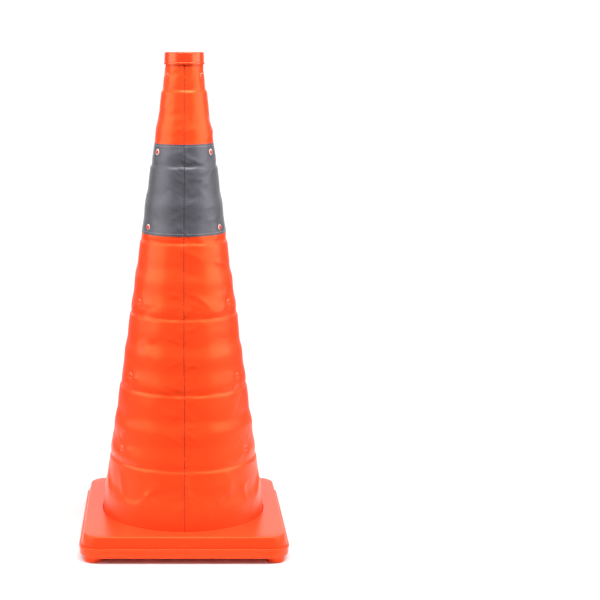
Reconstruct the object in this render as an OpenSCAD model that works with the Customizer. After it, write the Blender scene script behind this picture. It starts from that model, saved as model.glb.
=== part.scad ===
// Collapsible traffic cone: a fabric cover on twelve telescoping rings that nest inside a flat hollow base.
// The origin is on the ground under the middle of the cone, +Z is up and the cover's seam faces -Y.

/* [Base] */
// Outer width of the square base at its parting line
base_w = 295; // [270:1:320]
// Radius of the base's corners
base_corner_r = 27; // [20:1:34]
// Height of the base's flat top above the ground
base_top_z = 38.3; // [36:0.1:42]
// Height of the parting line between the two shells
parting_z = 22.4; // [20:0.1:26]
// Wall thickness of the top shell
shell_t = 2; // [1.5:0.1:3]
// Thickness of the bottom shell's floor
floor_t = 1.6; // [1.2:0.1:2]

/* [Feet] */
// Height of each foot
foot_h = 8.2; // [6:0.1:9]
// Radius of each foot
foot_r = 12.5; // [10:0.5:14]
// Distance of a foot's centre from the base's side
foot_inset = 19.5; // [18:0.5:24]

/* [Rings] */
// Number of telescoping rings
ring_count = 12; // [12:1:12]
// Height of the fixed collar's top edge above the ground
collar_top_z = 65; // [60:1:70]
// Rise from one ring's top edge to the next
ring_pitch = 52.8; // [48:0.1:53]
// Length by which each extended ring still sits inside the next one
ring_overlap = 2; // [1.5:0.1:3]
// Outer radius of the smallest ring at its top edge
top_ring_r = 24; // [23.5:0.1:25]
// Growth in radius from one ring to the next
radius_step = 7.5; // [7.4:0.1:9]
// Wall thickness of the rings
ring_wall = 1.5; // [1.2:0.1:1.6]
// Outward lean of each ring's wall, in millimetres of radius for each millimetre of height
ring_slope = 0.105; // [0.09:0.001:0.105]

/* [Cover] */
// Thickness of the cover
cover_t = 0.5; // [0.4:0.1:0.6]
// Clearance between the cover and the rings
cover_gap = 0.2; // [0.1:0.05:0.3]
// Height of the reflective band's lower edge
band_low_z = 448; // [440:1:455]
// Height of the reflective band's upper edge
band_high_z = 575; // [565:1:580]

/* [Cap] */
// Radius of the cap's lower lip
cap_r = 28.5; // [28:0.1:30]
// Height of the cap
cap_h = 17; // [15:0.5:20]
// Thickness of the cap's top
cap_top_t = 2.9; // [2:0.1:4]
// Radius of the socket that takes a beacon lamp's tube
socket_r = 12; // [10:0.5:13]
// Length of the socket
socket_h = 43; // [30:1:45]

/* [Rivets] */
// Drop from a ring's top edge to its rivets
rivet_drop = 30; // [25:1:34]
// Radius of a rivet's shank
rivet_shank_r = 2; // [1.5:0.1:2.5]
// Radius of a rivet's head
rivet_head_r = 3.9; // [3.5:0.1:5]
// Height of a rivet's head
rivet_head_h = 1.5; // [1.2:0.1:1.8]

/* [Hidden] */

$fn = 96;
small_fn = 32;
eps = 0.01;
join = 0.5;
cut = 4;

cone_orange = [1.0, 0.36, 0.20];
shell_orange = [1.0, 0.30, 0.15];
cap_orange = [1.0, 0.43, 0.32];
band_grey = [0.46, 0.45, 0.48];
ring_grey = [0.93, 0.45, 0.28];
steel = [0.72, 0.72, 0.74];

// Ring 1 is the smallest, and the fixed collar counts as one more ring below the last
collar_index = ring_count + 1;

// Base
floor_top_z = foot_h + floor_t;
top_shell_w = base_w - 3.5;
top_face_w = base_w - 12;
top_edge_w = top_face_w - 3;
top_edge_h = 1.8;
bottom_edge_w = base_w - 7;
bottom_round_h = 3;
bottom_wall = 3.5;
opening_clear = 1;
screw_boss_cover = 1;
opening_r = collar_r(base_top_z) + cover_gap + cover_t + opening_clear;
foot_xy = base_w / 2 - foot_inset;
foot_chamfer = 1.5;

// Rings
ring_h = ring_pitch + ring_overlap;
lean = atan(ring_slope);
riveted_rings = [1, 3, 5, 7, 9, 11];
rivet_angles = [-150, -30, 90];
rivet_tail = 1.9;
washer_r = 4.5;
washer_t = 0.8;
washer_gap = 0.6;

// Collar
flange_t = 2.2;
flange_r = 131;
collar_screw_circle = 125.5;
collar_screw_count = 6;
collar_boss_r = 4;

// Screws
screw_r = 1.9;
screw_clear_r = 2.2;
screw_head_r = 4;
screw_head_h = 2.4;
screw_recess_r = 4.6;
screw_recess_h = 4.2;
boss_r = 5.5;
base_screw_len = 22;
collar_screw_r = 1.5;
collar_screw_head_r = 2.8;
collar_screw_head_h = 1.8;
collar_screw_len = 6;
collar_boss_h = 3.2;

// Cover
cover_top_drop = 2;
cover_top_z = ring_top_z(1) - cover_top_drop;
hem_above_flange = 4;
cover_hem_z = floor_top_z + flange_t + hem_above_flange;
hem_ring_low_z = 23;
hem_ring_high_z = 34;
hem_ring_t = 3;
piece_gap = 0.3;
rivet_hole_r = rivet_shank_r + 0.5;

// Cap
cap_top_z = ring_top_z(1) + cap_top_t;
cap_low_z = cap_top_z - cap_h;
cap_body_r = cap_r - 0.7;
cap_wall = 1.3;
cap_round = 1.2;
cap_lip_h = 2.5;
cap_hole_r = socket_r + 0.6;
clamp_low_z = cap_low_z + 3;
clamp_high_z = clamp_low_z + 6;
socket_wall = 1.8;
socket_flange_r = 20;
socket_flange_t = 1.6;

// Height of the top edge of ring k
function ring_top_z(k) = collar_top_z + ring_pitch * (collar_index - k);

// Outer radius of ring k at height z
function ring_r(k, z) = top_ring_r + radius_step * (k - 1) + ring_slope * (ring_top_z(k) - z);

// Outer radius of the fixed collar at height z
function collar_r(z) = ring_r(collar_index, z);

// One side of the cover from z_low up to z_high, at an offset d from the rings
function cover_side(z_low, z_high, d) = [
    for (k = [collar_index:-1:1])
        let (
            bottom = k == collar_index ? -1000 : ring_top_z(k + 1) + d,
            top = ring_top_z(k) + d,
            low = max(z_low, bottom),
            high = min(z_high, top)
        )
        if (high > low) each [[ring_r(k, low) + d, low], [ring_r(k, high) + d, high]]
];

// Stepped tube of the cover between two heights
module cover_tube(z_low, z_high) {
    inner = cover_side(z_low, z_high, cover_gap);
    outer = cover_side(z_low, z_high, cover_gap + cover_t);
    reversed = [for (i = [len(outer) - 1:-1:0]) outer[i]];
    rotate_extrude($fn = 180)
        polygon(concat(inner, reversed));
}

// Places its children on ring k at each rivet, with +Z along the outward normal of the wall
module at_rivets(k) {
    z = ring_top_z(k) - rivet_drop;
    for (a = rivet_angles)
        rotate([0, 0, a])
            translate([ring_r(k, z), 0, z])
                rotate([0, 90 - lean, 0])
                    children();
}

// Holes through the cover at every rivet
module rivet_holes() {
    for (k = riveted_rings)
        at_rivets(k)
            translate([0, 0, -cut])
                cylinder(h = 2 * cut, r = rivet_hole_r, $fn = small_fn);
}

// Slab with rounded corners whose width changes from one height to the next
module tapered_slab(levels, corner_r) {
    hull()
        for (level = levels)
            translate([0, 0, level[1]])
                linear_extrude(eps)
                    rounded_square(level[0], corner_r - (levels[0][0] - level[0]) / 4);
}

module rounded_square(w, r) {
    hull()
        for (x = [-1, 1], y = [-1, 1])
            translate([x * (w / 2 - r), y * (w / 2 - r)])
                circle(r, $fn = small_fn);
}

// Places its children at the four corners of the base
module at_corners() {
    for (x = [-1, 1], y = [-1, 1])
        translate([x * foot_xy, y * foot_xy, 0])
            children();
}

// Places its children at the collar's screws
module at_collar_screws() {
    for (i = [0:collar_screw_count - 1])
        rotate([0, 0, 30 + i * 360 / collar_screw_count])
            translate([collar_screw_circle, 0, 0])
                children();
}

module cap() {
    color(cap_orange)
        rotate_extrude()
            polygon([
                [cap_hole_r, cap_top_z],
                [cap_body_r - cap_round, cap_top_z],
                [cap_body_r - cap_round * 0.3, cap_top_z - cap_round * 0.3],
                [cap_body_r, cap_top_z - cap_round],
                [cap_body_r + 0.2, cap_low_z + cap_lip_h + 0.5],
                [cap_r, cap_low_z + cap_lip_h],
                [cap_r, cap_low_z],
                [cap_body_r - cap_wall + 0.6, cap_low_z],
                [cap_body_r - cap_wall, cap_low_z + cap_lip_h],
                [cap_body_r - cap_wall, cap_top_z - cap_top_t],
                [cap_hole_r, cap_top_z - cap_top_t]
            ]);
}

module lamp_socket() {
    top = cap_top_z - cap_top_t;
    color(cap_orange)
        rotate_extrude()
            polygon([
                [socket_r, top],
                [socket_flange_r, top],
                [socket_flange_r, top - socket_flange_t],
                [socket_r + socket_wall, top - socket_flange_t],
                [socket_r + socket_wall, top - socket_h],
                [socket_r, top - socket_h]
            ]);
}

module cap_clamp_ring() {
    outer = cap_body_r - cap_wall;
    d = cover_gap + cover_t;
    color(cap_orange)
        rotate_extrude()
            polygon([
                [ring_r(1, clamp_low_z) + d, clamp_low_z],
                [outer, clamp_low_z],
                [outer, clamp_high_z],
                [ring_r(1, clamp_high_z) + d, clamp_high_z]
            ]);
}

module cover_upper() {
    color(cone_orange)
        difference() {
            cover_tube(band_high_z, cover_top_z);
            rivet_holes();
        }
}

module reflective_band() {
    color(band_grey)
        difference() {
            cover_tube(band_low_z + piece_gap, band_high_z - piece_gap);
            rivet_holes();
        }
}

module cover_lower() {
    color(cone_orange)
        difference() {
            cover_tube(cover_hem_z, band_low_z);
            rivet_holes();
        }
}

// Telescoping ring k, with holes where it is riveted to the cover
module ring(k) {
    top = ring_top_z(k);
    bottom = top - ring_h;
    riveted = len(search(k, riveted_rings)) > 0;
    color(ring_grey)
        difference() {
            rotate_extrude()
                polygon([
                    [ring_r(k, bottom) - ring_wall, bottom],
                    [ring_r(k, bottom), bottom],
                    [ring_r(k, top), top],
                    [ring_r(k, top) - ring_wall, top]
                ]);
            if (riveted)
                at_rivets(k)
                    translate([0, 0, -cut])
                        cylinder(h = 2 * cut, r = rivet_shank_r, $fn = small_fn);
        }
}

// Three domed rivets that hold the cover to ring k
module rivets(k) {
    seat = cover_gap + cover_t + cover_gap;
    color(shell_orange)
        at_rivets(k)
            union() {
                translate([0, 0, -ring_wall - rivet_tail])
                    cylinder(h = ring_wall + rivet_tail + seat + join, r = rivet_shank_r, $fn = small_fn);
                translate([0, 0, seat])
                    rotate_extrude($fn = small_fn)
                        polygon([
                            [0, 0],
                            [rivet_head_r, 0],
                            [rivet_head_r, rivet_head_h * 0.3],
                            [rivet_head_r * 0.8, rivet_head_h * 0.72],
                            [rivet_head_r * 0.45, rivet_head_h * 0.94],
                            [0, rivet_head_h]
                        ]);
            }
}

// Three washers behind the rivets of ring k
module washers(k) {
    color(steel)
        at_rivets(k)
            translate([0, 0, -ring_wall - washer_gap - washer_t])
                difference() {
                    cylinder(h = washer_t, r = washer_r, $fn = small_fn);
                    translate([0, 0, -cut])
                        cylinder(h = 2 * cut, r = rivet_shank_r, $fn = small_fn);
                }
}

module base_collar() {
    wall_low_z = floor_top_z;
    color(ring_grey)
        difference() {
            rotate_extrude()
                polygon([
                    [collar_r(wall_low_z) - ring_wall, wall_low_z],
                    [flange_r, wall_low_z],
                    [flange_r, wall_low_z + flange_t],
                    [collar_r(wall_low_z + flange_t), wall_low_z + flange_t],
                    [collar_r(collar_top_z), collar_top_z],
                    [collar_r(collar_top_z) - ring_wall, collar_top_z]
                ]);
            at_collar_screws()
                cylinder(h = floor_top_z + flange_t + cut, r = collar_screw_r, $fn = small_fn);
        }
}

module collar_screws() {
    color(steel)
        at_collar_screws()
            translate([0, 0, floor_top_z + flange_t])
                union() {
                    translate([0, 0, -collar_screw_len])
                        cylinder(h = collar_screw_len + join, r = collar_screw_r, $fn = small_fn);
                    cylinder(h = collar_screw_head_h, r = collar_screw_head_r, $fn = small_fn);
                }
}

module hem_ring() {
    d = cover_gap + cover_t;
    color(shell_orange)
        rotate_extrude()
            polygon([
                [collar_r(hem_ring_low_z) + d, hem_ring_low_z],
                [collar_r(hem_ring_low_z) + d + hem_ring_t, hem_ring_low_z],
                [collar_r(hem_ring_low_z) + d + hem_ring_t, hem_ring_high_z],
                [collar_r(hem_ring_high_z) + d, hem_ring_high_z]
            ]);
}

module base_top_shell() {
    color(shell_orange)
        difference() {
            union() {
                difference() {
                    tapered_slab([
                        [top_shell_w, parting_z],
                        [top_face_w, base_top_z - top_edge_h],
                        [top_edge_w, base_top_z - eps]
                    ], base_corner_r);
                    tapered_slab([
                        [top_shell_w - 2 * shell_t, parting_z - cut],
                        [top_face_w - 2 * shell_t, base_top_z - shell_t - eps]
                    ], base_corner_r - shell_t);
                }
                at_corners()
                    translate([0, 0, floor_top_z])
                        cylinder(h = base_top_z - shell_t - floor_top_z + join, r = boss_r, $fn = small_fn);
            }
            cylinder(h = base_top_z + cut, r = opening_r, $fn = 180);
            at_corners()
                cylinder(h = base_top_z - shell_t - screw_boss_cover, r = screw_r, $fn = small_fn);
        }
}

module base_bottom_shell() {
    color(shell_orange)
        difference() {
            union() {
                tapered_slab([
                    [base_w, parting_z - eps],
                    [base_w - 1, foot_h + bottom_round_h],
                    [bottom_edge_w, foot_h]
                ], base_corner_r);
                at_collar_screws()
                    translate([0, 0, foot_h - collar_boss_h])
                        cylinder(h = collar_boss_h + join, r = collar_boss_r, $fn = small_fn);
            }
            tapered_slab([
                [base_w - 2 * bottom_wall, parting_z + cut],
                [bottom_edge_w - 2 * bottom_wall, floor_top_z]
            ], base_corner_r - bottom_wall);
            at_corners()
                cylinder(h = parting_z, r = screw_clear_r, $fn = small_fn);
            at_collar_screws()
                cylinder(h = parting_z, r = collar_screw_r, $fn = small_fn);
        }
}

// Foot at one corner, with a recess for the head of its screw
module foot(x, y) {
    color(shell_orange)
        translate([x * foot_xy, y * foot_xy, 0])
            difference() {
                rotate_extrude($fn = 64)
                    polygon([
                        [0, 0],
                        [foot_r - foot_chamfer, 0],
                        [foot_r, foot_chamfer],
                        [foot_r, foot_h],
                        [0, foot_h]
                    ]);
                translate([0, 0, -cut])
                    cylinder(h = screw_recess_h + cut, r = screw_recess_r, $fn = small_fn);
                cylinder(h = foot_h + cut, r = screw_clear_r, $fn = small_fn);
            }
}

module base_screws() {
    color(steel)
        at_corners()
            translate([0, 0, screw_recess_h - screw_head_h])
                union() {
                    cylinder(h = screw_head_h, r = screw_head_r, $fn = small_fn);
                    cylinder(h = screw_head_h + base_screw_len, r = screw_r, $fn = small_fn);
                }
}

cap();
lamp_socket();
cap_clamp_ring();
cover_upper();
reflective_band();
cover_lower();
ring(1);  // ring_01
ring(2);  // ring_02
ring(3);  // ring_03
ring(4);  // ring_04
ring(5);  // ring_05
ring(6);  // ring_06
ring(7);  // ring_07
ring(8);  // ring_08
ring(9);  // ring_09
ring(10);  // ring_10
ring(11);  // ring_11
ring(12);  // ring_12
rivets(1);  // rivets_01
rivets(3);  // rivets_03
rivets(5);  // rivets_05
rivets(7);  // rivets_07
rivets(9);  // rivets_09
rivets(11);  // rivets_11
washers(1);  // washers_01
washers(3);  // washers_03
washers(5);  // washers_05
washers(7);  // washers_07
washers(9);  // washers_09
washers(11);  // washers_11
base_collar();
collar_screws();
hem_ring();
base_top_shell();
base_bottom_shell();
foot(-1, -1);  // foot_front_left
foot(1, -1);  // foot_front_right
foot(-1, 1);  // foot_rear_left
foot(1, 1);  // foot_rear_right
base_screws();
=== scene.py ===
"""Collapsible traffic cone: the soft cover, its band and stitching, and the moulded parts, on the CAD frame.

Shapes are worked out in millimetres in the row frame (+Z up, the cover's seam towards -Y), and stored in
metres. The cover is one surface around the telescoping rings. It is cut at the rivet rows and above the free
rings, and each stretch is listed with the two bodies it lies between. No cloth simulation is used: the folds
are displacements in code.
"""

import math

import bpy
import numpy as np
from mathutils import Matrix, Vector


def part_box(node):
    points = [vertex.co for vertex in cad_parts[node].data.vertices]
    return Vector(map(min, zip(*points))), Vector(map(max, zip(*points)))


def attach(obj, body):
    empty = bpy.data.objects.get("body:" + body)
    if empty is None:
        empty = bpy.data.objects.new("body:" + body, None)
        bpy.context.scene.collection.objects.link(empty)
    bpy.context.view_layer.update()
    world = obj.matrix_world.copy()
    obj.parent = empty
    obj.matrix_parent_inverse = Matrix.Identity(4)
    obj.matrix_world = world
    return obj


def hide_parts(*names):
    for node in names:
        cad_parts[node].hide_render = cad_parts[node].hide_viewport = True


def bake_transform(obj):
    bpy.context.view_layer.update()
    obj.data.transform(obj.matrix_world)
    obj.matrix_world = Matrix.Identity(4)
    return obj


MM = 0.001
SEED = 20
RING_COUNT = 12
RIVETED = (1, 3, 5, 7, 9, 11)
RIVET_ANGLES = (-150, -30, 90)
BASE_CORNER = 27.0
SEAM_ANGLE = -90

# The cover, in millimetres
CLOTH_T = 0.45
CLOTH_OFFSET = 0.72  # from a ring's wall to the cloth's outer face, where the cloth lies against it
CLOTH_CLEAR = 0.1  # least gap between a ring's wall and the cloth
HEM_BELOW_TOP = 22.3  # how far the cover's hem hangs below the base's top, inside its opening
BAND_LOW, BAND_HIGH = 448.0, 575.0
BAND_T = 0.36
BAND_LIFT = 0.03
BAND_TUCK = 5.0  # how far each cover runs under the band
BAND_JOG = 0.9  # how far the band's edges miss each other at the seam
COVER_TOP_DROP = 2.0
ABOVE_FREE_RING = 8.0  # where a long sheet ends, above a free ring's top
FREE_STEP = 4.2  # height over which the cloth steps in above a free ring
RIVETED_RAMP = 21.0  # the same above a riveted ring
FREE_BULGE = 0.6  # how far the cloth bellies out below a free ring
TUCK_HEIGHT = 1.35  # how far the cloth stands off above a free ring
TUCK_START = 2.0
TUCK_REACH = 11.0
SLACK_FULL_RADIUS = 70.0  # slack shrinks in proportion above this, where the cone is narrower
SLACK_LEAST_SCALE = 0.45
SLACK_MOST = 3.0
SLACK_NARROW = 2.4  # where the cover has to pass down inside the next ring
GRID_STEP = 0.4
SEAM_GROOVE = 0.35
STITCH_PITCH, STITCH_LENGTH = 3.9, 3.5  # along the seam

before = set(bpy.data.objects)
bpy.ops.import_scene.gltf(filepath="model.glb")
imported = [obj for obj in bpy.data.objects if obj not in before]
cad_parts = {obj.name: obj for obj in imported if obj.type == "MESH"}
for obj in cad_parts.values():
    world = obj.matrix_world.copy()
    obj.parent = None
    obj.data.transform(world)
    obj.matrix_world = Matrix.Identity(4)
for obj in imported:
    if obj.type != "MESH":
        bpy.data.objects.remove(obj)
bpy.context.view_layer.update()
rng = np.random.default_rng(SEED)


# ---------------------------------------------------------------- sizes read from the frame


def radii_of(node):
    """Heights and radii of a CAD node's corners, in millimetres."""
    co = np.array([v.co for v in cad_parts[node].data.vertices], float) / MM
    return co[:, 2], np.hypot(co[:, 0], co[:, 1])


def top_edge(node):
    """(height, outer radius) of a ring's top edge."""
    z, r = radii_of(node)
    return z.max(), r[z > z.max() - 0.05].max()


ring_names = [f"ring_{k:02d}" for k in range(1, RING_COUNT + 1)] + ["base_collar"]
edges = [top_edge(n) for n in ring_names]
TOPS = np.array([e[0] for e in edges])
RADII = np.array([e[1] for e in edges])
low_z, low_r = radii_of("ring_12")
PITCH = TOPS[11] - TOPS[12]
SLOPE = (low_r[low_z < low_z.min() + 0.05].max() - RADII[11]) / (TOPS[11] - low_z.min())
RIVET_DROP = TOPS[10] - np.mean([c[2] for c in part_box("rivets_11")]) / MM
BASE_TOP_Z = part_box("base_top_shell")[1].z / MM


def box_mm(node):
    low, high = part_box(node)
    return np.array(low) / MM, np.array(high) / MM


def ring_top(k):
    return TOPS[k - 1]


def wall(z):
    """Outer radius of the ring that stands at each height, where the cover lies."""
    z = np.asarray(z, float)
    k = np.clip((TOPS[:, None] >= z.ravel()).sum(0), 1, RING_COUNT + 1).reshape(z.shape)
    return RADII[k - 1] + SLOPE * (TOPS[k - 1] - z)


# ---------------------------------------------------------------- meshes


def mesh_object(name, points, faces, materials, uv=None, normals=None, smooth=True, material_index=None):
    """A mesh object from points in millimetres, with optional loop UVs in metres and point normals."""
    mesh = bpy.data.meshes.new(name)
    mesh.from_pydata((np.asarray(points, float) * MM).tolist(), [], faces)
    for m in materials:
        mesh.materials.append(m)
    if smooth:
        mesh.polygons.foreach_set("use_smooth", [True] * len(mesh.polygons))
    if material_index is not None:
        mesh.polygons.foreach_set("material_index", np.asarray(material_index, np.int32))
    if uv is not None:
        mesh.uv_layers.new(name="UVMap").data.foreach_set("uv", np.asarray(uv, np.float32).ravel())
    mesh.update()
    if normals is not None:
        mesh.normals_split_custom_set_from_vertices(np.asarray(normals, float).tolist())
    obj = bpy.data.objects.new(name, mesh)
    bpy.context.scene.collection.objects.link(obj)
    return obj


class Build:
    """Collects points and faces of several solids for one mesh."""

    def __init__(self):
        self.points, self.faces, self.index, self.count = [], [], [], 0

    def add(self, points, faces, index=0):
        self.points.append(np.asarray(points, float))
        self.faces += [tuple(i + self.count for i in f) for f in faces]
        self.index += [index] * len(faces)
        self.count += len(points)

    def object(self, name, materials, smooth_angle=None):
        obj = mesh_object(name, np.concatenate(self.points), self.faces, materials, material_index=self.index)
        if smooth_angle is not None:
            obj.data.set_sharp_from_angle(angle=math.radians(smooth_angle))
        return obj


def loft(loops, closed_profile=False, cap_ends=False):
    """Points and faces between loops of equal length, each of which closes on itself."""
    n, m = len(loops[0]), len(loops)
    faces = []
    for i in range(m if closed_profile else m - 1):
        a, b = i * n, (i + 1) % m * n
        faces += [(a + j, a + (j + 1) % n, b + (j + 1) % n, b + j) for j in range(n)]
    if cap_ends:
        faces += [tuple(range(n))[::-1], tuple(range((m - 1) * n, m * n))]
    return np.concatenate(loops), faces


def circle(radius, z, n=96, centre=(0, 0)):
    a = np.arange(n) * 2 * math.pi / n
    return np.stack([centre[0] + radius * np.cos(a), centre[1] + radius * np.sin(a), np.full(n, float(z))], 1)


def lathe(profile, n=96, centre=(0, 0), closed=True, cap_ends=False):
    return loft([circle(r, z, n, centre) for r, z in profile], closed, cap_ends)


def fillet(corner, before, after, radius, steps=5):
    """Points of a round corner in a profile, from the side of before to the side of after."""
    c, b, a = (np.array(p, float) for p in (corner, before, after))
    u, v = (b - c) / np.linalg.norm(b - c), (a - c) / np.linalg.norm(a - c)
    half = math.acos(np.clip(u @ v, -1, 1)) / 2
    reach = radius / math.tan(half)
    centre = c + (u + v) / np.linalg.norm(u + v) * radius / math.sin(half)
    p, q = c + u * reach - centre, c + v * reach - centre
    t = np.linspace(0, 1, steps)[:, None]
    turn = math.acos(np.clip(p @ q / radius**2, -1, 1))
    return [tuple(x) for x in centre + (np.sin((1 - t) * turn) * p + np.sin(t * turn) * q) / math.sin(turn)]


def rounded(profile):
    """A closed profile of (a, z, fillet radius) corners with its round corners filled in."""
    out = []
    for i, (a, z, r) in enumerate(profile):
        before, after = profile[i - 1][:2], profile[(i + 1) % len(profile)][:2]
        out += fillet((a, z), before, after, r) if r else [(a, z)]
    return out


# ---------------------------------------------------------------- the cover's surface


def smooth_step(t):
    t = np.clip(t, 0, 1)
    return t * t * (3 - 2 * t)


def waves(phi, low, high, count):
    """A smooth random function of the angle, about -1 to 1, from a few whole waves around the cone."""
    out = np.zeros_like(phi)
    for _ in range(count):
        out += rng.uniform(0.5, 1) * np.cos(rng.integers(low, high + 1) * phi + rng.uniform(0, 2 * math.pi))
    return out / count / 0.6


def seam_columns():
    """Angles of the cover's columns from the seam, closer together beside it."""
    half = math.radians(5)
    fine = np.linspace(-half, half, 27)
    coarse = np.linspace(half, 2 * math.pi - half, 234)[1:-1]
    coarse = np.where(coarse > math.pi, coarse - 2 * math.pi, coarse)
    return np.sort(np.concatenate([fine, coarse]))


PHI = seam_columns()
FINE_Z = np.arange(-1.0, 701.0, GRID_STEP)


def stroke(field, z0, s0, length, tilt, width, height):
    """Adds a fold to the field: a ridge or valley with a sharp crest, from (arc length s0 from the seam, z0).

    Its flanks leave the cone as tangents do, as on slack cloth around a round form."""
    dz, ds = math.sin(tilt), math.cos(tilt)
    rows = (FINE_Z > z0 - length - width) & (FINE_Z < z0 + length + width)
    z = FINE_Z[rows][:, None] - z0
    around = 2 * math.pi * wall(FINE_Z[rows])[:, None]
    s = PHI[None, :] * around / (2 * math.pi) - s0
    s = (s + around / 2) % around - around / 2
    along, across = (s * ds + z * dz) / length, -s * dz + z * ds
    taper = np.where((along > 0) & (along < 1), np.sin(np.clip(along, 0, 1) * math.pi) ** 0.7, 0)
    field[rows] += height * taper * np.clip(1 - np.hypot(across, 0.5) / width, 0, 1) ** 2


def slack_field():
    """How far the cover bags out between the rings, before folds."""
    field = np.zeros((len(FINE_Z), len(PHI)))
    for k in range(1, RING_COUNT + 1):
        below, above = ring_top(k + 1), ring_top(k)
        rows = (FINE_Z >= below) & (FINE_Z < above)
        u = ((FINE_Z[rows] - below) / (above - below))[:, None]
        free_above = k not in RIVETED
        uneven = (1 + 0.45 * waves(PHI, 2, 6, 3) + 0.35 * waves(PHI, 7, 14, 3))[None, :]
        if free_above:
            shape = FREE_BULGE * np.sin(math.pi * u**2)
        else:
            rise = np.clip(FINE_Z[rows] - below - TUCK_START, 0, None)[:, None] / TUCK_REACH
            shape = TUCK_HEIGHT * (1 - (1 - np.minimum(rise, 1)) ** 1.5) * (1 - smooth_step((rise - 1) / 2.2))
        scale = np.clip(wall(FINE_Z[rows]) / SLACK_FULL_RADIUS, SLACK_LEAST_SCALE, 1)
        field[rows] += np.clip(uneven, 0.15, None) * shape * scale[:, None]
    return field


def add_folds(field):
    """Folds beside the seam, around the rivets, between the rings and in the cover's lowest stretch."""
    for z in np.arange(70, 690, 12.0):
        for side in (0, math.pi):
            if rng.random() < 0.8:
                stroke(field, z + rng.uniform(-5, 5), 0, rng.uniform(10, 34), side + rng.uniform(-0.6, 0.6),
                       rng.uniform(4, 8), rng.uniform(0.25, 0.65))
    for z in np.arange(BAND_LOW + 8, BAND_HIGH - 4, 4.0):
        for side in (-1, 1):
            stroke(field, z + rng.uniform(-3, 3), side * rng.uniform(3, 26), rng.uniform(10, 30),
                   rng.uniform(0.1, 0.8) * side, rng.uniform(2.5, 5), rng.uniform(0.2, 0.6))
    for k in range(1, RING_COUNT + 1):
        low = ring_top(k + 1)
        around = 2 * math.pi * wall(low + 20)
        for _ in range(int(around / 34) + 3):
            stroke(field, low + rng.uniform(8, 42), rng.uniform(-0.5, 0.5) * around, rng.uniform(22, 64),
                   rng.choice([0, math.pi]) + rng.uniform(-0.9, 0.9), rng.uniform(6, 14),
                   rng.uniform(-0.5, 1.2))
    for k in RIVETED:
        z = ring_top(k) - RIVET_DROP
        for angle in RIVET_ANGLES:
            s = math.radians((angle - SEAM_ANGLE + 180) % 360 - 180) * wall(z)
            for tilt in np.arange(5) * 2 * math.pi / 5 + rng.uniform(0, 1.2):
                stroke(field, z + 3 * math.sin(tilt), s + 3 * math.cos(tilt), rng.uniform(16, 30),
                       tilt + rng.uniform(-0.3, 0.3), rng.uniform(4, 7), rng.uniform(0.4, 0.9))
    bottom = 2 * math.pi * wall(90.0)
    for s in np.arange(-0.5, 0.5, 0.05) * bottom:
        stroke(field, rng.uniform(62, 78), s + rng.uniform(-10, 10), rng.uniform(30, 60),
               math.pi / 2 + rng.uniform(-1.0, 1.0), rng.uniform(9, 16), rng.uniform(1.6, 3.5))


def pull_in(field):
    """Draws the cloth in at each rivet and along the seam's stitches."""
    for k in RIVETED:
        z = ring_top(k) - RIVET_DROP
        for angle in RIVET_ANGLES:
            turn = math.radians((angle - SEAM_ANGLE + 180) % 360 - 180)
            s = (PHI - turn + math.pi) % (2 * math.pi) - math.pi
            d2 = (s[None, :] * wall(z)) ** 2 + (FINE_Z[:, None] - z) ** 2
            field *= 1 - np.exp(-d2 / 6.5**2)


def cover_surface():
    """Radius of the cover's outer face on the fine grid."""
    side = wall(FINE_Z)[:, None] + np.zeros((1, len(PHI)))
    for k in range(2, RING_COUNT + 2):
        riveted = k in RIVETED or k > RING_COUNT
        if riveted:
            reach = RIVETED_RAMP * (1 + 0.3 * waves(PHI, 3, 9, 3))
        else:
            reach = FREE_STEP * (1 + 0.25 * waves(PHI, 5, 18, 4))
        start = ring_top(k) + (0.5 if riveted else 0.15) * (1 + waves(PHI, 4, 12, 3))
        drop = RADII[k - 1] - (RADII[k - 2] + SLOPE * PITCH)
        ridge, ridge_reach = (0.5, 11) if riveted else (0.3, 5)
        ridge = ridge * (1 + 0.35 * waves(PHI, 3, 8, 3))[None, :]
        above = (FINE_Z > ring_top(k)) & (FINE_Z <= ring_top(k) + PITCH)
        s = (FINE_Z[above][:, None] - start[None, :]) / reach[None, :]
        side[above] += (drop + ridge) * (1 - smooth_step(s))
        under = (FINE_Z <= ring_top(k)) & (FINE_Z > ring_top(k) - PITCH)
        side[under] += ridge * np.exp(-(((ring_top(k) - FINE_Z[under][:, None]) / ridge_reach) ** 2))
    slack = slack_field()
    add_folds(slack)
    pull_in(slack)
    limit = np.full(len(FINE_Z), SLACK_MOST)
    for k in range(2, RING_COUNT + 1, 2):
        narrow = smooth_step((FINE_Z - ring_top(k) + 1) / 3)
        narrow = narrow * smooth_step((ring_top(k - 1) - 22 - FINE_Z) / 6)
        limit = np.minimum(limit, SLACK_MOST - (SLACK_MOST - SLACK_NARROW) * narrow)
    slack = np.minimum(slack, limit[:, None])
    outer = side + CLOTH_OFFSET + slack
    seam = PHI[None, :] * wall(FINE_Z)[:, None]
    groove = SEAM_GROOVE * np.exp(-((seam / 1.1) ** 2)) - 0.25 * np.exp(-(((np.abs(seam) - 3.0) / 1.5) ** 2))
    outer -= groove
    window = np.exp(-0.5 * (np.arange(-10, 11) * GRID_STEP / 0.9) ** 2)
    window /= window.sum()
    padded = np.pad(outer, ((10, 10), (0, 0)), mode="edge")
    outer = sum(w * padded[i : i + len(FINE_Z)] for i, w in enumerate(window))
    return np.maximum(outer, wall(FINE_Z)[:, None] + CLOTH_CLEAR + 0.22)


SURFACE = cover_surface()
SLIP = rng.uniform(-0.9, 0.9, len(TOPS))  # millimetres


def twist(z):
    """Angle by which the cover has slipped round at height z, a little different at every ring."""
    return np.interp(z, TOPS[::-1], SLIP[::-1]) / wall(z)


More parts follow.
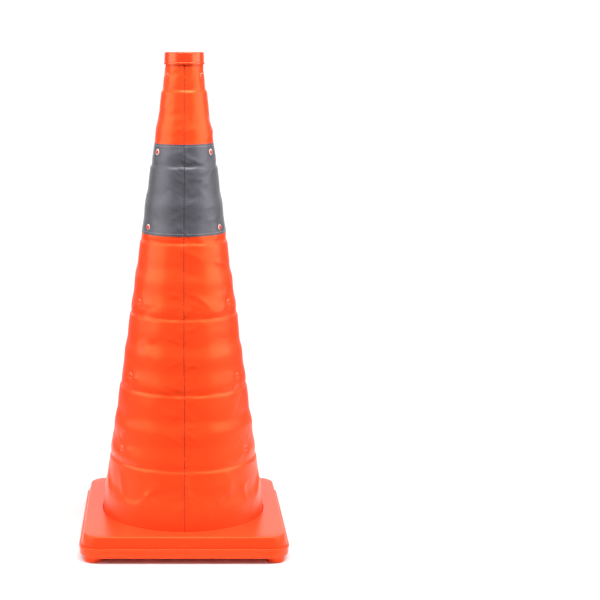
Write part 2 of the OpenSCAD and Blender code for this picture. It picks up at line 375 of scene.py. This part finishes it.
def jog(z):
    """How far the band's edges climb from one side of the seam around to the other, per turn."""
    return BAND_JOG * sum(np.exp(-(((z - edge) / 2.6) ** 2)) for edge in (BAND_LOW, BAND_HIGH))


def at_rows(z):
    """Radius of the cover's outer face at each of the given heights, for every column."""
    i = np.clip((np.asarray(z, float) - FINE_Z[0]) / GRID_STEP, 0, len(FINE_Z) - 1.001)
    low = i.astype(int)
    t = (i - low)[:, None]
    return SURFACE[low] * (1 - t) + SURFACE[low + 1] * t


def cover_rows(low, high):
    """Heights of the mesh's rows, closer together at the rings' top edges, with both ends."""
    rows = [low]
    while rows[-1] < high:
        near = np.abs(TOPS - rows[-1]).min()
        rows.append(rows[-1] + (0.8 if near < 5 else 1.9))
    rows = np.array(rows)
    return low + (rows - low) * (high - low) / (rows[-1] - low)


def on_cover(z, phi, lift=0.0):
    """Points in millimetres on the cover, at heights z and angles phi from the seam, raised by lift."""
    z, phi = np.broadcast_arrays(np.asarray(z, float), np.asarray(phi, float))
    radius = np.array([np.interp(p, PHI, row, period=2 * math.pi) for p, row in zip(phi, at_rows(z))]) + lift
    a = phi + math.radians(SEAM_ANGLE) + twist(z)
    return np.stack([radius * np.cos(a), radius * np.sin(a), z + jog(z) * phi / math.pi], 1)


def grid_points(z, radius):
    a = PHI[None, :] + math.radians(SEAM_ANGLE) + twist(z)[:, None]
    height = z[:, None] + jog(z)[:, None] * PHI[None, :] / math.pi
    return np.stack([radius * np.cos(a), radius * np.sin(a), height + 0 * radius], 2)


def grid_normals(points):
    around = np.roll(points, -1, 1) - np.roll(points, 1, 1)
    up = np.gradient(points, axis=0)
    n = np.cross(around, up)
    return n / np.linalg.norm(n, axis=2, keepdims=True)


def cloth(name, low, high, lift, thickness, material, node):
    """One stretch of the cover: a closed sheet from low to high."""
    z = cover_rows(low, high)
    outside = np.concatenate([[low - 1.5], z, [high + 1.5]])
    outer = at_rows(outside) + lift
    normals = grid_normals(grid_points(outside, outer))[1:-1]
    outer = outer[1:-1]
    clear = CLOTH_CLEAR if lift == 0 else CLOTH_CLEAR + CLOTH_T * 0.3
    inner = np.maximum(outer - thickness, wall(z)[:, None] + clear)
    m, n = len(z), len(PHI)
    points = np.concatenate([grid_points(z, outer).reshape(-1, 3), grid_points(z, inner).reshape(-1, 3)])
    i, j = np.meshgrid(np.arange(m - 1), np.arange(n), indexing="ij")
    a, b = (i * n + j).ravel(), (i * n + (j + 1) % n).ravel()
    faces = np.stack([a, b, b + n, a + n], 1)
    inside = (faces + m * n)[:, ::-1]
    j = np.arange(n)
    k = (j + 1) % n
    upper, upper_inside = (m - 1) * n, (2 * m - 1) * n
    rims = np.concatenate([
        np.stack([j + m * n, k + m * n, k, j], 1),
        np.stack([upper + j, upper + k, upper_inside + k, upper_inside + j], 1)])
    every = np.concatenate([faces, inside, rims])
    u = np.append(PHI, PHI[0] + 2 * math.pi)
    mean_r = wall(np.array([(low + high) / 2]))[0]
    step = np.array([0, 1, 1, 0])
    column = np.concatenate([np.tile(np.arange(n), m - 1)] * 2 + [np.arange(n)] * 2)
    corner = np.tile(step, (len(column), 1))
    corner[len(faces) : 2 * len(faces)] = step[::-1]
    uv = np.stack([u[column[:, None] + corner] * mean_r * MM, points[every][:, :, 2] * MM], 2)
    point_normals = np.concatenate([normals.reshape(-1, 3), -normals.reshape(-1, 3)])
    obj = mesh_object(name, points, every.tolist(), [material], uv=uv, normals=point_normals)
    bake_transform(obj)
    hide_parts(node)
    return obj


def stretches():
    """(name, low, high, bodies, start, end) of each stretch of the cover, from the hem up."""
    out, low = [], BASE_TOP_Z - HEM_BELOW_TOP
    for k in range(RING_COUNT + 1, 1, -2):
        top = ring_top(k)
        lower = "base" if k > RING_COUNT else f"tier_{k:02d}"
        free, upper = f"tier_{k - 1:02d}", f"tier_{k - 2:02d}"
        bend_end = ring_top(k - 1) + ABOVE_FREE_RING
        row = ring_top(k - 2) - RIVET_DROP
        out.append((f"{k:02d}", low, bend_end, (lower, free), top, bend_end))
        out.append((f"{k - 1:02d}", bend_end, row, (free, upper), bend_end, row))
        low = row
    out.append(("01", low, ring_top(1) - COVER_TOP_DROP, ("tier_02", "tier_01"), low - 6, low - 1))
    return out


# ---------------------------------------------------------------- stitches


def stitch(build, a, b, out, radius, index=0):
    """A thread's stitch from a to b: a flattened round bar with tapered ends, lying on the cloth."""
    a, b, out = np.asarray(a, float), np.asarray(b, float), np.asarray(out, float)
    along = (b - a) / np.linalg.norm(b - a)
    side = np.cross(along, out)
    side /= np.linalg.norm(side)
    out = np.cross(side, along)
    angles = np.arange(6) * math.pi / 3
    loops = []
    sections = (0, 0.35, 0.6), (0.12, 0.85, 0.25), (0.5, 1, 0), (0.88, 0.85, 0.25), (1, 0.35, 0.6)
    for t, size, sink in sections:
        centre = a + (b - a) * t - out * radius * sink
        section = np.cos(angles)[:, None] * side + 0.8 * np.sin(angles)[:, None] * out
        loops.append(centre + radius * size * section)
    build.add(*loft(loops, cap_ends=True), index)


def seam_stitches(name, low, high, materials):
    """The seam's dashed line on one stretch of the cover, in the band's thread where it crosses the band."""
    build = Build()
    for z in np.arange(low + 0.5, high - STITCH_LENGTH, STITCH_PITCH):
        on_band = BAND_LOW < z < BAND_HIGH
        a, b = on_cover([z, z + STITCH_LENGTH], [0, 0], BAND_LIFT + BAND_T if on_band else 0.1)
        stitch(build, a, b, (0, -1, 0.1), 0.75 if on_band else 0.55, index=int(on_band))
    return finish_thread(build, name, materials)


def hem_stitches(name, z, lift, material):
    """A row of stitches around the cover at one height."""
    build = Build()
    radius = wall(np.array([z]))[0]
    count = int(2 * math.pi * radius / 3.6)
    for i in range(count):
        phi = (i + 0.3) * 2 * math.pi / count - math.pi
        turn = 2.5 / radius
        a, b = on_cover([z, z], [phi, min(phi + turn, math.pi)], lift)
        stitch(build, a, b, np.array([a[0], a[1], 0]) / radius, 0.26)
    return finish_thread(build, name, material)


def finish_thread(build, name, materials):
    obj = build.object(name, materials)
    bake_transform(obj)
    return obj


# ---------------------------------------------------------------- moulded parts


def rivet_heads(k, materials):
    """Ring k's three rivets: domed heads with their shanks, each in an eyelet."""
    z = ring_top(k) - RIVET_DROP
    lean = math.atan(SLOPE)
    head_r, head_h, seat = 3.1, 1.5, 1.0
    seat += 0.2 if BAND_LOW < z < BAND_HIGH else 0.0
    t = np.linspace(0, math.pi / 2, 8)
    dome = [
        (head_r * math.cos(a) ** 0.75 if a < 1.57 else 0.02, seat + 0.35 + (head_h - 0.35) * math.sin(a))
        for a in t
    ]
    head = [(0.02, seat), (head_r - 0.1, seat), *dome]
    eyelet = rounded([
        (2.2, seat - 0.5, 0), (4.4, seat - 0.5, 0.12), (4.4, seat + 0.25, 0.2), (2.2, seat + 0.25, 0)])
    shank = [(0.02, -3.2), (2.0, -3.2), (2.0, seat + 0.1), (0.02, seat + 0.1)]
    build = Build()
    for angle in RIVET_ANGLES:
        a = math.radians(angle)
        out = np.array([math.cos(a) * math.cos(lean), math.sin(a) * math.cos(lean), math.sin(lean)])
        side = np.array([-math.sin(a), math.cos(a), 0])
        up = np.cross(out, side)
        radius = wall(np.array([z]))[0]
        origin = np.array([radius * math.cos(a), radius * math.sin(a), z])
        for profile, index in ((head, 0), (eyelet, 1), (shank, 0)):
            points, faces = lathe(profile, 40, closed=index == 1, cap_ends=index == 0)
            points = origin + points[:, :1] * side + points[:, 1:2] * up + points[:, 2:] * out
            build.add(points, faces, index)
    obj = build.object(f"rivet_heads_{k:02d}", materials, smooth_angle=40)
    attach(obj, f"tier_{k:02d}")
    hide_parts(f"rivets_{k:02d}")
    return obj


def cap(material):
    """The cap with a round top rim, a flared lower lip and a round edge to its hole."""
    low, high = box_mm("cap")
    z, r = radii_of("cap")
    hole, lip = r.min(), r.max()
    top, bottom, body = high[2], low[2], lip - 0.7
    profile = rounded([
        (hole, top, 0.5), (body - 0.1, top, 1.5), (body + 0.2, bottom + 3.2, 1.2), (lip, bottom + 2.3, 0.5),
        (lip, bottom, 0.4), (body - 0.7, bottom, 0), (body - 1.3, bottom + 2.5, 0),
        (body - 1.3, top - 2.9, 0), (hole, top - 2.9, 0)])
    build = Build()
    build.add(*lathe(profile, 128))
    obj = build.object("cap_body", [material], smooth_angle=38)
    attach(obj, "tier_01")
    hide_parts("cap")
    return obj


def square_angles(width, corner):
    """Directions from the centre that reach a rounded square's sides and follow its corners closely."""
    half = width / 2
    start = math.atan2(half - corner, half)
    side = np.linspace(-start, start, 13)[:-1]
    turn = np.linspace(start, math.pi / 2 - start, 15)[:-1]
    quarter = np.concatenate([side, turn])
    return np.concatenate([quarter + i * math.pi / 2 for i in range(4)])


def square_loop(width, corner, z, angles):
    """A rounded square as a loop of points, one in each direction."""
    half, c = width / 2, width / 2 - corner
    out = []
    for a in angles:
        x, y = abs(math.cos(a)), abs(math.sin(a))
        reach = half / max(x, y)
        if min(x, y) * reach > c:
            along = x * c + y * c
            reach = along + math.sqrt(max(along**2 - 2 * c**2 + corner**2, 0))
        out.append((reach * math.cos(a), reach * math.sin(a), z))
    return np.array(out)


def between(a, b, steps):
    return [a + (b - a) * t for t in np.linspace(0, 1, steps + 2)[1:-1]]


def base_shells(material):
    """Both halves of the base, with the round edges that the moulding has, and the feet."""
    low, high = box_mm("base_bottom_shell")
    width, corner = high[0] - low[0], BASE_CORNER
    parting = high[2]
    top = box_mm("base_top_shell")[1][2]
    z, r = radii_of("base_top_shell")
    opening = r[z > top - 0.3].min()
    angles = square_angles(width, corner)

    inset = (width - (box_mm("base_top_shell")[1][0] * 2)) / 2
    side = [(inset + 0.8, parting, 0.5), (inset + 4.6, top, 2.3)]
    outer = []
    profile = rounded([(inset + 2, parting, 0), *side, (inset + 30, top, 0)])[1:-1]
    for a, h in profile:
        outer.append(square_loop(width - 2 * a, corner - a * 0.6, h, angles))
    rim = np.stack([np.cos(angles), np.sin(angles)], 1)

    def ring(radius, height):
        return np.column_stack([rim * radius, np.full(len(angles), float(height))])

    quarter = np.linspace(0, math.pi / 2, 5)
    edge = [(opening + (1 - math.sin(t)), top - (1 - math.cos(t))) for t in quarter]
    loops = outer + between(outer[-1], ring(edge[0][0], top), 3)
    loops += [ring(*e) for e in edge] + [ring(opening, top - 2)]
    under = square_loop(width - 2 * (inset + 6.8), corner - 5, top - 2, angles)
    seat = square_loop(width - 2 * (inset + 2.2), corner - 2, parting, angles)
    loops += between(loops[-1], under, 1) + [under, seat]
    build = Build()
    build.add(*loft(loops, closed_profile=True))
    foot = box_mm("foot_front_right")
    fx, fy = (foot[0][0] + foot[1][0]) / 2, (foot[0][1] + foot[1][1]) / 2
    floor = box_mm("base_collar")[0][2]
    for x in (-fx, fx):
        for y in (-fy, fy):
            tube = [(1.9, floor + 0.1), (5.5, floor + 0.1), (5.5, top - 1.9), (1.9, top - 1.9)]
            build.add(*lathe(tube, 32, (x, y)))
    upper = build.object("base_top_body", [material], smooth_angle=35)
    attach(upper, "base")
    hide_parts("base_top_shell")

    bottom = foot[1][2]
    outline = rounded([
        (20, bottom, 0), (1.3, bottom, 2.0), (0.9, parting - 3.4, 0.3),
        (0, parting - 2.6, 0.5), (0, parting, 1.2), (3.6, parting, 0)])
    loops = [square_loop(width - 2 * a, corner - a * 0.5, h, angles) for a, h in outline[1:]]
    inside = square_loop(width - 2 * 7, corner - 3.5, floor, angles)
    loops += [inside] + between(inside, ring(4, floor), 2) + [ring(4, floor)]
    loops = [ring(4, bottom)] + between(ring(4, bottom), loops[0], 2) + loops
    build = Build()
    build.add(*loft(loops, cap_ends=True))
    z, r = radii_of("collar_screws")
    circle_r = (r.min() + r.max()) / 2
    boss_low = box_mm("base_bottom_shell")[0][2]
    for i in range(6):
        a = math.radians(30 + 60 * i)
        boss = rounded([
            (1.5, boss_low, 0), (4, boss_low, 0.5), (4, bottom + 0.4, 0), (1.5, bottom + 0.4, 0)])
        build.add(*lathe(boss, 32, (circle_r * math.cos(a), circle_r * math.sin(a))))
    lower = build.object("base_bottom_body", [material], smooth_angle=35)
    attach(lower, "base")
    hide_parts("base_bottom_shell")

    build = Build()
    foot_r = (foot[1][0] - foot[0][0]) / 2
    for x in (-fx, fx):
        for y in (-fy, fy):
            profile = rounded([
                (2.2, bottom, 0), (2.2, 4.2, 0), (4.6, 4.2, 0), (4.6, 0, 0.3), (foot_r - 0.3, 0, 1.8),
                (foot_r, bottom, 0)])
            build.add(*lathe(profile, 64, (x, y)))
    feet = build.object("feet", [material], smooth_angle=35)
    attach(feet, "base")
    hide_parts("foot_front_left", "foot_front_right", "foot_rear_left", "foot_rear_right")


# ---------------------------------------------------------------- materials


def material(name, colour, roughness, **inputs):
    """A Principled material and its node tree, with uniform values set on the shader."""
    m = bpy.data.materials.new(name)
    m.use_nodes = True
    shader = m.node_tree.nodes["Principled BSDF"]
    shader.inputs["Base Color"].default_value = (*colour, 1)
    shader.inputs["Roughness"].default_value = roughness
    for key, value in inputs.items():
        shader.inputs[key.replace("_", " ")].default_value = value
    m.diffuse_color = (*colour, 1)
    return m, m.node_tree, shader


def noise(tree, scale, detail=3.0, source="Object"):
    coordinates = tree.nodes.new("ShaderNodeTexCoord")
    texture = tree.nodes.new("ShaderNodeTexNoise")
    texture.inputs["Scale"].default_value = scale
    texture.inputs["Detail"].default_value = detail
    tree.links.new(coordinates.outputs[source], texture.inputs["Vector"])
    return texture.outputs["Fac"]


def add_bump(tree, shader, height, distance, strength=1.0, below=None):
    bump = tree.nodes.new("ShaderNodeBump")
    bump.inputs["Distance"].default_value = distance
    bump.inputs["Strength"].default_value = strength
    tree.links.new(height, bump.inputs["Height"])
    if below is not None:
        tree.links.new(below, bump.inputs["Normal"])
    tree.links.new(bump.outputs["Normal"], shader.inputs["Normal"])
    return bump.outputs["Normal"]


def tint(tree, shader, colour, factor, spread):
    """Base colour that varies between a darker and a lighter shade of the same hue."""
    mix = tree.nodes.new("ShaderNodeMix")
    mix.data_type = "RGBA"
    mix.inputs[6].default_value = (*[c * (1 - spread) for c in colour], 1)
    mix.inputs[7].default_value = (*[min(c * (1 + spread), 1) for c in colour], 1)
    tree.links.new(factor, mix.inputs[0])
    tree.links.new(mix.outputs[2], shader.inputs["Base Color"])


def weave(tree, pitch):
    """Height of a plain weave over the cloth's flat coordinates."""
    coordinates = tree.nodes.new("ShaderNodeTexCoord")
    total = tree.nodes.new("ShaderNodeMath")
    total.operation = "MULTIPLY"
    for i, direction in enumerate(("X", "Y")):
        wave = tree.nodes.new("ShaderNodeTexWave")
        wave.bands_direction = direction
        wave.inputs["Scale"].default_value = math.pi / (10 * pitch)
        tree.links.new(coordinates.outputs["UV"], wave.inputs["Vector"])
        tree.links.new(wave.outputs["Fac"], total.inputs[i])
    return total.outputs[0]


def cloth_material(name, colour, roughness, spread, pitch, **inputs):
    m, tree, shader = material(name, colour, roughness, **inputs)
    tint(tree, shader, colour, noise(tree, 55, 5), spread)
    creases = add_bump(tree, shader, noise(tree, 160, 4), 0.00035, 0.5)
    add_bump(tree, shader, weave(tree, pitch), 0.00004, 0.35, creases)
    return m


def plastic_material(name, colour, roughness, grain, **inputs):
    m, tree, shader = material(name, colour, roughness, **inputs)
    tint(tree, shader, colour, noise(tree, 25, 3), 0.03)
    add_bump(tree, shader, noise(tree, 2200, 2), grain, 0.5)
    return m


ORANGE_CLOTH = (0.96, 0.060, 0.0130)
GLOSS = (1.0, 0.75, 0.22, 1)
cover_cloth = cloth_material("cover_cloth", ORANGE_CLOTH, 0.32, 0.05, 0.0009, Specular_IOR_Level=0.42,
                             Specular_Tint=GLOSS)
band_cloth = cloth_material("band_cloth", (0.093, 0.089, 0.105), 0.42, 0.08, 0.0006, Metallic=0.25,
                            Specular_IOR_Level=0.3, Sheen_Weight=0.3, Sheen_Roughness=0.35)
base_plastic = plastic_material("base_plastic", (0.96, 0.049, 0.0115), 0.32, 0.00004,
                                Specular_IOR_Level=0.5, Specular_Tint=GLOSS)
cap_plastic = plastic_material("cap_plastic", (0.95, 0.042, 0.009), 0.28, 0.00003, Specular_IOR_Level=0.75,
                               Specular_Tint=(1.0, 0.8, 0.4, 1))
ring_plastic = plastic_material("ring_plastic", (0.78, 0.125, 0.050), 0.45, 0.00003)
# The rivet heads are orange plastic, made a shade darker than the cloth as painted shade, so each head reads
# as a dark dot like the shadow under it.
rivet_plastic = plastic_material("rivet_plastic", (0.85, 0.055, 0.014), 0.26, 0.00001, Specular_Tint=GLOSS)
# The eyelets are real rings. Their pale and light orange colours are a painted highlight: the light rim
# around each rivet head.
pale_eyelet_painted_highlight = plastic_material("pale_eyelet_painted_highlight", (0.84, 0.70, 0.66), 0.3, 0.00001)
orange_eyelet_painted_highlight = plastic_material("orange_eyelet_painted_highlight", (0.93, 0.20, 0.10), 0.3, 0.00001)
seam_thread, _, _ = material("seam_thread", (0.22, 0.014, 0.008), 0.8)
band_seam_thread, _, _ = material("band_seam_thread", (0.020, 0.018, 0.024), 0.8)
hem_thread, _, _ = material("hem_thread", (0.40, 0.39, 0.42), 0.7)
steel, steel_tree, steel_shader = material("plated_steel", (0.60, 0.60, 0.62), 0.32, Metallic=1.0)
add_bump(steel_tree, steel_shader, noise(steel_tree, 1800, 2), 0.00002, 0.4)

cad_finish = {"lamp_socket": cap_plastic, "cap_clamp_ring": cap_plastic, "base_collar": ring_plastic,
              "hem_ring": base_plastic, "collar_screws": steel, "base_screws": steel}
cad_finish |= {f"ring_{k:02d}": ring_plastic for k in range(1, RING_COUNT + 1)}
cad_finish |= {f"washers_{k:02d}": steel for k in RIVETED}
for node, finish in cad_finish.items():
    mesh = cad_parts[node].data
    mesh.materials.clear()
    mesh.materials.append(finish)


# ---------------------------------------------------------------- assembly

for name, low, high, bodies, start, end in stretches():
    grey_low, grey_high = max(low, BAND_LOW), min(high, BAND_HIGH)
    if low < BAND_LOW + BAND_TUCK:
        part = cloth(f"cover_lower_{name}", low, min(high, BAND_LOW + BAND_TUCK), 0, CLOTH_T, cover_cloth,
                     "cover_lower")
    if high > BAND_HIGH - BAND_TUCK:
        part = cloth(f"cover_upper_{name}", max(low, BAND_HIGH - BAND_TUCK), high, 0, CLOTH_T, cover_cloth,
                     "cover_upper")
    if grey_high > grey_low:
        part = cloth(f"band_{name}", grey_low, grey_high, BAND_LIFT + BAND_T, BAND_T, band_cloth,
                     "reflective_band")
        for side, z in (("low", BAND_LOW + 3.2), ("high", BAND_HIGH - 3.2)):
            if grey_low < z < grey_high:
                thread = hem_stitches(f"band_stitches_{side}", z, BAND_LIFT + BAND_T,
                                      [hem_thread])
    thread = seam_stitches(f"seam_{name}", max(low, BASE_TOP_Z - 5), high,
                           [seam_thread, band_seam_thread])

# Rivet heads a shade darker as painted shade, each in an eyelet whose light colour is a painted highlight.
for k in RIVETED:
    on_band = BAND_LOW < ring_top(k) - RIVET_DROP < BAND_HIGH
    rivet_heads(k, [rivet_plastic, pale_eyelet_painted_highlight if on_band else orange_eyelet_painted_highlight])
cap(cap_plastic)
base_shells(base_plastic)


# ---------------------------------------------------------------- floor, lights and camera

WORLD_STRENGTH = 0.17  # of the sky in front and at the sides
BACK_STRENGTH = 1.23  # of the sky behind the object, which the moulded base's top reflects
BELOW_HORIZON = 0.35  # share of that below the horizon, which the cover's sides reflect
WORLD_WHITE = 1.06  # just over white, so that the floor's far edge doesn't show
SOFTBOX_POWER = 18.5
TOP_POWER = 76


def area_light(name, place, target, size, power, colour=(1, 1, 1)):
    data = bpy.data.lights.new(name, "AREA")
    data.shape, data.size, data.size_y = "RECTANGLE", *size
    data.energy, data.color = power, colour
    light = bpy.data.objects.new(name, data)
    bpy.context.scene.collection.objects.link(light)
    light.location = place
    aim = np.array(target) - np.array(place)
    light.rotation_euler = Vector(aim).to_track_quat("-Z", "Y").to_euler()
    return light


world = bpy.data.worlds.new("white")
bpy.context.scene.world = world
world.use_nodes = True
nodes = world.node_tree.nodes
background = nodes["Background"]
background.inputs["Color"].default_value = (*[WORLD_WHITE] * 3, 1)
links = world.node_tree.links
direction, split, ray = (
    nodes.new(f"ShaderNode{kind}") for kind in ("TexCoord", "SeparateXYZ", "LightPath")
)
links.new(direction.outputs["Generated"], split.inputs["Vector"])


def sky_ramp(axis, low, high, at_low, at_high):
    """A brightness that changes smoothly with one component of the sky's direction."""
    ramp = nodes.new("ShaderNodeMapRange")
    ramp.interpolation_type = "SMOOTHSTEP"
    for socket, value in (("From Min", low), ("From Max", high), ("To Min", at_low), ("To Max", at_high)):
        ramp.inputs[socket].default_value = value
    links.new(split.outputs[axis], ramp.inputs["Value"])
    return ramp.outputs["Result"]


def combine(operation, a, b):
    """The result of a Math node on two sockets."""
    node = nodes.new("ShaderNodeMath")
    node.operation = operation
    links.new(a, node.inputs[0])
    links.new(b, node.inputs[1])
    return node.outputs[0]


behind = sky_ramp("Y", 0.76, 0.90, WORLD_STRENGTH, BACK_STRENGTH)
above_floor = sky_ramp("Z", -0.10, 0.06, BELOW_HORIZON, 1.0)
lit = combine("MULTIPLY", behind, above_floor)
# The camera sees plain white in every direction, and the object is lit by the dimmer sky.
links.new(combine("MAXIMUM", lit, ray.outputs["Is Camera Ray"]), background.inputs["Strength"])

floor_material, _, _ = material("floor", (0.72, 0.72, 0.72), 0.9)
floor_corners = [(-700, -310, 0), (1100, -310, 0), (1100, 600, 0), (-700, 600, 0)]
floor = mesh_object("floor", floor_corners, [(0, 1, 2, 3)], [floor_material])

for name, side in (("left_softbox", -1), ("right_softbox", 1)):
    area_light(name, (side * 1.3, -0.42, 0.9), (0, -0.42, 0.9), (1.3, 1.2), SOFTBOX_POWER)
area_light("top_softbox", (0.1, -0.55, 2.1), (0.05, -0.1, 0.3), (2.2, 0.9), TOP_POWER)

camera_data = bpy.data.cameras.new("camera")
camera_data.lens, camera_data.sensor_width, camera_data.shift_x = 88.35, 36, 0.229
camera = bpy.data.objects.new("camera", camera_data)
bpy.context.scene.collection.objects.link(camera)
camera.location = (-0.03035, -2.09618, 0.72454)
camera.rotation_euler = (math.radians(90 - 10.188), 0, 0)
bpy.context.scene.camera = camera
bpy.context.scene.view_settings.view_transform = "Standard"
